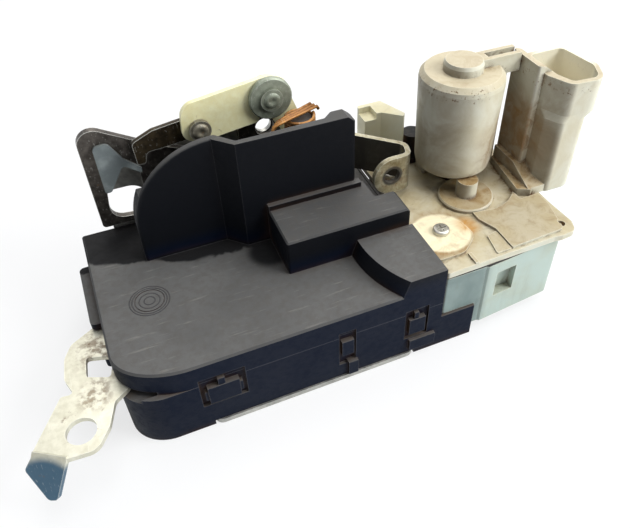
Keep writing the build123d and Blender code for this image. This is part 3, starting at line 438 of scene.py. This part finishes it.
# %% Bright steel
LEVER_DIRT = (((-0.0585, -0.012, 0.0246), 0.018), ((-0.066, -0.030, 0.0246), 0.009))
LEVER_TIP = ((-0.086, -0.052, 0.014), 0.013)
EYE = (0.0592, 0.0062, 0.0502)
EYE_DIRT = ((EYE, 0.0075), ((0.066, 0.012, 0.046), 0.010))
# Painted shade behind the bracket's eye and in its hole.
EYE_SHADE = (EYE, 0.0037, 0.0050, 0.0098)

# Painted reflection: the lever's near-white colour, with less metal, stands partly for the lamp behind.
plated_lever = zinc("plated_lever", tint(234, 231, 213), tint(206, 202, 180), 0.6, metal=0.6,
                    dirt_at=LEVER_DIRT, blued_at=(LEVER_TIP,))
dress(plated_lever, "release_lever")
stained_bracket = zinc("stained_bracket", tint(186, 182, 160), tint(118, 108, 80), 1.0, 0.42, 0.8, 0.35,
                       dirt_at=EYE_DIRT, painted_shade_at=(EYE_SHADE,))
dress(stained_bracket, "eye_bracket")
plated_sheet = zinc("plated_sheet", tint(200, 199, 192), tint(150, 150, 144), 0.6)
dress(plated_sheet, "latch_plate", "release_slide")
yellow_plated = zinc("yellow_plated", tint(250, 246, 202), tint(238, 228, 172), 0.6, 0.42, 0.08, 0.2)
dress(yellow_plated, "lock_crank")
plated_screws = zinc("plated_screws", tint(226, 224, 216), tint(178, 174, 164), 0.4)
dress(plated_screws, "actuator_screws", "gear_axle", "motor_can")

# %% [markdown]
# ## Rivets, springs and dark steel
# The rest is the same recipe with other colours. The rivets are grey-green, the claw and the pawl are
# dark with oil, the link is nearly black, and the springs have turned the colour of old copper.

# %% Dark steel
grey_rivets = zinc("grey_green_rivets", tint(160, 166, 148), tint(112, 118, 102), 0.5, 0.45, 0.5, 0.3)
dress(grey_rivets, "crank_disc", "crank_pin", "claw_pin", "pawl_pin", "release_pin", "case_rivets")
brown_rivet = zinc("brown_rivet", tint(150, 144, 126), tint(92, 86, 72), 0.8, 0.45, 0.5, 0.3)
dress(brown_rivet, "link_rivet")
claw_steel = zinc("dark_claw_steel", tint(112, 106, 100), tint(58, 54, 50), 0.6, 0.36, 0.85, 0.8)
dress(claw_steel, "claw", "pawl", "linkage_bracket", "motor_rotor")
dark_link = zinc("dark_gold_link", tint(78, 66, 46), tint(36, 30, 22), 0.6, 0.42, 0.7, 0.8)
dress(dark_link, "lock_link")
spring_wire = zinc("rusty_spring_wire", tint(176, 124, 62), tint(112, 70, 34), 0.7, 0.40, 0.45, 0.1)
dress(spring_wire, "crank_spring")
oiled_wire = zinc("oiled_spring_wire", tint(132, 112, 92), tint(80, 62, 46), 0.5, 0.38)
dress(oiled_wire, "claw_spring", "pawl_spring", "release_spring")
brass = zinc("contact_brass", tint(214, 184, 110), tint(176, 142, 74), 0.1, 0.30)
dress(brass, "connector_terminals", "motor_pinion")

# %% [markdown]
# ## Rubber and the claw's jacket
# The striker's stop and the seal are plain black rubber. The claw's jacket is a grey-green plastic,
# moulded round the steel so that the door shuts without a clang. Both are soft and dull, and a fine
# noise in the bump is enough to take away the look of polish.

# %% Soft plastics
GREASY = tint(80, 66, 48)


def soft_plastic(name, light, shade, rough):
    finish = Coated(name)
    clouds = finish.between(finish.noise(120, 4, 0.6), 0.35, 0.7)
    color = finish.coats(shade, (light, clouds), (GREASY, finish.hollows(0.003) * 0.5))
    return finish.surface(Base_Color=color, Roughness=rough + 0.1 * clouds,
                          Normal=finish.bump(finish.noise(1800, 2, 0.5), 0.2, 0.0001))


dress(soft_plastic("black_rubber", tint(44, 44, 44), tint(26, 26, 27), 0.6), "striker_buffer", "housing_seal")
dress(soft_plastic("grey_jacket", tint(150, 158, 156), tint(112, 120, 120), 0.45), "claw_overmould")

# %% [markdown]
# ## Drawing a line
# Some details are too small or too fiddly for the solid model: screw threads, peened rivet heads, a
# bent wire, thin rings in a moulding. Most start as a single point that is drawn out into a line, the
# way one would sketch a profile by hand.

# %% Lines and finished pieces
def only(piece):
    """Select one piece and nothing else."""
    bpy.ops.object.select_all(action="DESELECT")
    piece.select_set(True)
    bpy.context.view_layer.objects.active = piece


def place_in_mesh():
    bpy.ops.object.transform_apply(location=True, rotation=True, scale=True)


def drawn_line(name, points):
    """A chain of edges through the points, in metres."""
    bpy.ops.object.select_all(action="DESELECT")
    bpy.ops.mesh.primitive_plane_add(size=0.001, location=points[0])
    piece = bpy.context.object
    piece.name = name
    place_in_mesh()
    bpy.ops.object.mode_set(mode="EDIT")
    bpy.ops.mesh.select_all(action="SELECT")
    bpy.ops.mesh.merge(type="CENTER")
    for start, end in zip(points, points[1:]):
        step = Vector(end) - Vector(start)
        bpy.ops.mesh.extrude_region_move(TRANSFORM_OT_translate={"value": step})
    bpy.ops.object.mode_set(mode="OBJECT")
    return piece


def finished(piece, slot, finish, body="frame_body", angle=35):
    """Smooth the piece, give it a finish and let it move with its body."""
    only(piece)
    place_in_mesh()
    bpy.ops.object.shade_smooth_by_angle(angle=math.radians(angle))
    piece.data.materials.clear()
    piece.data.materials.append(finish.owner)
    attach(piece, body)
    print(piece.name, len(piece.data.polygons), "faces")


print("helpers:", drawn_line.__name__, finished.__name__)

# %% [markdown]
# ## Peened rivet heads
# The crank and the link turn on shouldered rivets whose ends were spread with a punch. Each end is a low
# dome with a dimple in the middle, so the profile dips before it reaches the axis. Spinning the line
# round that axis makes the head, as a lathe would.

# %% Rivet heads
SPIN_STEPS = 40
SEAT = 0.00003            # how far a head sinks into what it sits on


def turned(name, profile, centre, to_front=False):
    """A profile of (radius, height) points spun round the vertical, or round the line to the front."""
    piece = drawn_line(name, [(radius, 0, height) for radius, height in profile])
    bpy.ops.object.mode_set(mode="EDIT")
    bpy.ops.mesh.select_all(action="SELECT")
    bpy.ops.mesh.spin(steps=SPIN_STEPS, angle=2 * math.pi, center=(0, 0, 0), axis=UP)
    bpy.ops.mesh.select_all(action="SELECT")
    bpy.ops.mesh.remove_doubles(threshold=1e-7)
    bpy.ops.mesh.normals_make_consistent(inside=False)
    bpy.ops.object.mode_set(mode="OBJECT")
    if to_front:
        piece.rotation_euler = (math.pi / 2, 0, 0)
    piece.location = centre
    return piece


def peened_head(name, node, radius, rise, finish, body):
    low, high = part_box(node)
    centre = ((low[0] + high[0]) / 2, low[1] + 0.00002, (low[2] + high[2]) / 2)
    profile = [(0, -SEAT), (radius, -SEAT), (radius * 0.97, rise * 0.35), (radius * 0.82, rise * 0.8),
               (radius * 0.6, rise), (radius * 0.38, rise * 0.82), (radius * 0.2, rise * 0.45),
               (0, rise * 0.35)]
    finished(turned(name, profile, centre, True), "rivet_steel", finish, body)


peened_head("crank_rivet_head", "crank_pin", 0.0030, 0.0007, grey_rivets, "frame_body")
peened_head("link_rivet_head", "link_rivet", 0.0029, 0.0009, brown_rivet, "lock_link_body")

# %% [markdown]
# ## Threads in the fixing holes
# Three M6 screws hold the latch to the door. A thread is a small triangle that climbs as it turns, which is
# what Blender's Screw modifier does. One helper draws it, and the record says where the holes are.

# %% Screw threads
PITCH, TURNS, TURN_STEPS = 0.001, 3.6, 100
THREAD_RADIUS, THREAD_SIZE, THREAD_BACK = 0.00246, 0.00034, 0.0376


def thread(name, centre):
    bpy.ops.object.select_all(action="DESELECT")
    bpy.ops.mesh.primitive_circle_add(vertices=3, radius=THREAD_SIZE, location=(THREAD_RADIUS, 0, 0),
                                      rotation=(math.pi / 2, 0, 0))
    piece = bpy.context.object
    piece.name = name
    place_in_mesh()
    climb = piece.modifiers.new("climb", "SCREW")
    climb.screw_offset = PITCH * TURNS
    climb.angle = 2 * math.pi * TURNS
    climb.steps = climb.render_steps = TURN_STEPS
    bpy.ops.object.modifier_apply(modifier="climb")
    bpy.ops.object.mode_set(mode="EDIT")
    bpy.ops.mesh.select_all(action="SELECT")
    bpy.ops.mesh.fill_holes(sides=3)
    bpy.ops.mesh.select_all(action="SELECT")
    bpy.ops.mesh.normals_make_consistent(inside=False)
    bpy.ops.object.mode_set(mode="OBJECT")
    piece.rotation_euler = (-math.pi / 2, 0, 0)
    piece.location = centre
    finished(piece, "pale_zinc", plated_sheet, angle=20)


mounts = {entry["name"]: entry["pos_m"] for entry in frame["record"]["mounts"]}
for mount in ("fixing_upper", "fixing_left", "fixing_right"):
    thread("thread_" + mount, (mounts[mount][0], THREAD_BACK, mounts[mount][2]))

# %% [markdown]
# ## Legs of the linkage spring
# The spring behind the tower ends in straight legs that lie across the top of its coils. A leg is a
# wire that runs almost straight and hooks down at both ends. A curve with a round bevel makes the
# wire, and it is turned into a mesh so that it can be smoothed and carried like the rest.

# %% Spring legs
LEG_COUNT, LEG_SPACING, LEG_RADIUS = 3, 0.00135, 0.00058
LEG_LEFT, LEG_RIGHT = (0.0150, 0.0138), (0.0335, 0.0200)
LEFT_HOOK, RIGHT_HOOK, SAG = Vector((-0.0006, -0.0002, -0.0016)), Vector((0.0007, 0.0003, -0.0013)), 0.00012


def wire(name, points, radius):
    """A round wire along the points."""
    drawn_line(name, points)
    bpy.ops.object.convert(target="CURVE")
    curve = bpy.context.object.data
    curve.bevel_depth = radius
    curve.bevel_resolution = 3
    curve.use_fill_caps = True
    bpy.ops.object.convert(target="MESH")
    return bpy.context.object


leg_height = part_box("crank_spring")[1][2] + 0.0006
for number in range(LEG_COUNT):
    aside = LEG_SPACING * (number - 1)
    left = Vector((LEG_LEFT[0] + 0.0012 * number, LEG_LEFT[1] + aside, leg_height))
    right = Vector((LEG_RIGHT[0] - 0.0008 * number, LEG_RIGHT[1] + aside, leg_height + 0.0003))
    run = [left + LEFT_HOOK, left, left.lerp(right, 0.35) + Vector((0, 0, SAG)), left.lerp(right, 0.7),
           right, right + RIGHT_HOOK]
    leg = wire(f"crank_spring_leg_{number + 1}", [tuple(point) for point in run], LEG_RADIUS)
    finished(leg, "spring_steel", spring_wire, angle=60)

# %% [markdown]
# ## Web beside the bracket
# A black web closes the gap towards the actuator, under the folded bracket: a dark sheet that stands in
# for the shade there. It is a cube that is flattened, given a sunk panel by insetting and extruding its
# top, and then bevelled.

# %% Rear web
WEB_LOW, WEB_HIGH = (0.0125, 0.0338), (0.0386, 0.0360)
WEB_LEFT = 0.0483
RIM_WIDTH, PANEL_DEPTH, SOFT_EDGE, GAP = 0.0012, 0.0007, 0.0003, 0.0004


def dark_shade_sheet(name, low, high):
    bpy.ops.object.select_all(action="DESELECT")
    low, high = Vector(low), Vector(high)
    bpy.ops.mesh.primitive_cube_add(size=1, location=(low + high) / 2, scale=high - low)
    piece = bpy.context.object
    piece.name = name
    place_in_mesh()
    bpy.ops.object.mode_set(mode="EDIT")
    bpy.ops.mesh.select_all(action="DESELECT")
    bpy.ops.object.mode_set(mode="OBJECT")
    for face in piece.data.polygons:
        face.select = face.normal.z > 0.9
    bpy.ops.object.mode_set(mode="EDIT")
    bpy.ops.mesh.inset(thickness=RIM_WIDTH)
    bpy.ops.mesh.extrude_region_move(TRANSFORM_OT_translate={"value": (0, 0, -PANEL_DEPTH)})
    bpy.ops.object.mode_set(mode="OBJECT")
    soften = piece.modifiers.new("soften", "BEVEL")
    soften.width = SOFT_EDGE
    soften.segments = 2
    bpy.ops.object.modifier_apply(modifier="soften")
    finished(piece, "black_plastic", black_case)


# A dark sheet in the gap stands in for shade.
web_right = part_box("actuator_housing")[0][0] - GAP
dark_shade_sheet("shade_web", (WEB_LEFT, *WEB_LOW), (web_right, *WEB_HIGH))

# %% [markdown]
# ## Plain rings on the cover
# The cover carries a bare round badge place. Low rings inside and outside its groove keep it from
# looking empty. Each ring is a small ridge, spun round the badge's centre, and it gets about a third of
# the cover's pale coat of dusting and painted sheen, so that it reads as a dark line.

# %% Cover rings
BADGE_CENTRE = (-0.041, -0.005, COVER_TOP)
RING_RADII = (0.0070, 0.0061, 0.0036, 0.0019)
FOOT_HALF, CREST_HALF, FOOT_DEPTH, CREST_RISE = 0.00025, 0.00014, 0.00008, 0.00012

ring_black = black_moulding("black_rings", 0.35)
for number, radius in enumerate(RING_RADII):
    ridge = [(radius - FOOT_HALF, -FOOT_DEPTH), (radius - CREST_HALF, CREST_RISE),
             (radius + CREST_HALF, CREST_RISE), (radius + FOOT_HALF, -FOOT_DEPTH),
             (radius - FOOT_HALF, -FOOT_DEPTH)]
    finished(turned(f"cover_ring_{number + 1}", ridge, BADGE_CENTRE), "black_plastic", ring_black)

# %% [markdown]
# ## Floor and background
# The latch lies on a pale floor before a white background. Both look white to the lens and to shiny
# metal, while they light the latch only softly: the Light Path node tells which ray is asking. A share
# of the floor stays plain, so that it keeps the shadow.

# %% Floor and world
FLOOR_WHITE, FLOOR_SHARE, FLOOR_DROP = (0.86, 0.86, 0.86, 1), 0.72, 0.0004
SKY_TINT, SKY_STRENGTH = (0.80, 0.87, 1.0, 1), 0.26
WHITE = (1, 1, 1, 1)


def white_background(web, mirrored):
    """1 for the lens and for light through glass, and less for reflections."""
    seen, through, glossy = [web.node("ShaderNodeLightPath", {}, {}, f"Is {ray} Ray")
                             for ray in ("Camera", "Transmission", "Glossy")]
    return seen + through + glossy * mirrored


floor_finish = Web(bpy.data.materials.new("pale_floor"))
plain = floor_finish.node("ShaderNodeBsdfDiffuse", {}, {"Color": FLOOR_WHITE})
glow = floor_finish.node("ShaderNodeEmission", {}, {"Color": WHITE, "Strength": 1.0})
share = white_background(floor_finish, 0.6) * FLOOR_SHARE
floor_finish.end_with(floor_finish.node("ShaderNodeMixShader", {}, {0: share, 1: plain, 2: glow}))

bpy.ops.object.select_all(action="DESELECT")
bpy.ops.mesh.primitive_plane_add(size=3, location=(0, 0, cad_box[0][2] - FLOOR_DROP))
floor = bpy.context.object
floor.name = "floor"
floor.data.materials.append(floor_finish.owner)

sky = Web(bpy.data.worlds.new("studio"))
dim = sky.node("ShaderNodeBackground", {}, {"Color": SKY_TINT, "Strength": SKY_STRENGTH})
bright = sky.node("ShaderNodeBackground", {}, {"Color": WHITE, "Strength": 1.0})
shown = sky.node("ShaderNodeMixShader", {}, {0: white_background(sky, 0.5), 1: dim, 2: bright})
sky.end_with(shown, "ShaderNodeOutputWorld")
bpy.context.scene.world = sky.owner
print("floor at", cad_box[0][2] - FLOOR_DROP, "and sky strength", SKY_STRENGTH)

# %% [markdown]
# ## Lamps
# One wide lamp stands behind the latch, so that the upward faces carry a soft shine towards the lens.
# A strong one on the right models the motor cup, a high one fills the ledges, and a weak blue one on
# the left keeps the walls readable. Square area lamps give the soft shadows of a light tent.

# %% Lamps
AIM = Vector((0.02, 0.0, 0.035))
LAMPS = (  # name, degrees round, degrees up, distance, size, watts, colour
    ("back_lamp", 158, 50, 0.9, 0.80, 4.5, (1.0, 0.98, 0.95)),
    ("right_lamp", 58, 36, 1.0, 0.50, 9.0, (0.96, 0.98, 1.0)),
    ("top_lamp", 60, 78, 1.0, 0.60, 4.5, (1, 1, 1)),
    ("left_lamp", -110, 30, 1.1, 0.40, 1.0, (0.80, 0.90, 1.0)))


def towards(azimuth, elevation):
    """The direction from the latch, in degrees round from the front and up from the floor."""
    side, rise = math.radians(azimuth), math.radians(elevation)
    return Vector((math.sin(side) * math.cos(rise), -math.cos(side) * math.cos(rise), math.sin(rise)))


for name, azimuth, elevation, distance, size, watts, color in LAMPS:
    data = bpy.data.lights.new(name, "AREA")
    data.size, data.energy, data.color = size, watts, color
    lamp = bpy.data.objects.new(name, data)
    bpy.context.scene.collection.objects.link(lamp)
    lamp.location = AIM + towards(azimuth, elevation) * distance
    lamp.rotation_euler = towards(azimuth, elevation).to_track_quat("Z", "Y").to_euler()
    print(name, tuple(round(part, 3) for part in lamp.location), watts, "W")

# %% [markdown]
# ## Camera
# The camera looks down on the case from the front left. It is built from three directions, because
# the small roll is easier to see that way than in Euler angles. Shifting the lens moves the picture
# without turning the camera, so the verticals keep their slant.

# %% Camera
CAMERA_PLACE = Vector((-0.0402, -0.1750, 0.2048))
CAMERA_SIDE, CAMERA_RISE, CAMERA_ROLL = -23, 43.5, math.radians(0.6)
LENS, SHIFT_X, SHIFT_Y, NEAREST = 37.49, -25 / 630, -12 / 630, 0.005

back = towards(CAMERA_SIDE, CAMERA_RISE)
level = (-back).cross(Vector(UP)).normalized()
drop = (-back).cross(level)
right = level * math.cos(CAMERA_ROLL) + drop * math.sin(CAMERA_ROLL)
down = drop * math.cos(CAMERA_ROLL) - level * math.sin(CAMERA_ROLL)
camera = bpy.data.objects.new("camera", bpy.data.cameras.new("camera"))
bpy.context.scene.collection.objects.link(camera)
camera.matrix_world = Matrix.Translation(CAMERA_PLACE) @ Matrix((right, -down, back)).transposed().to_4x4()
camera.data.lens = LENS
camera.data.shift_x, camera.data.shift_y = SHIFT_X, SHIFT_Y
camera.data.clip_start = NEAREST
bpy.context.scene.camera = camera
bpy.context.scene.view_settings.view_transform = "Standard"
print("camera at", tuple(CAMERA_PLACE), "with a lens of", LENS, "mm")

# %% [markdown]
# ## The end
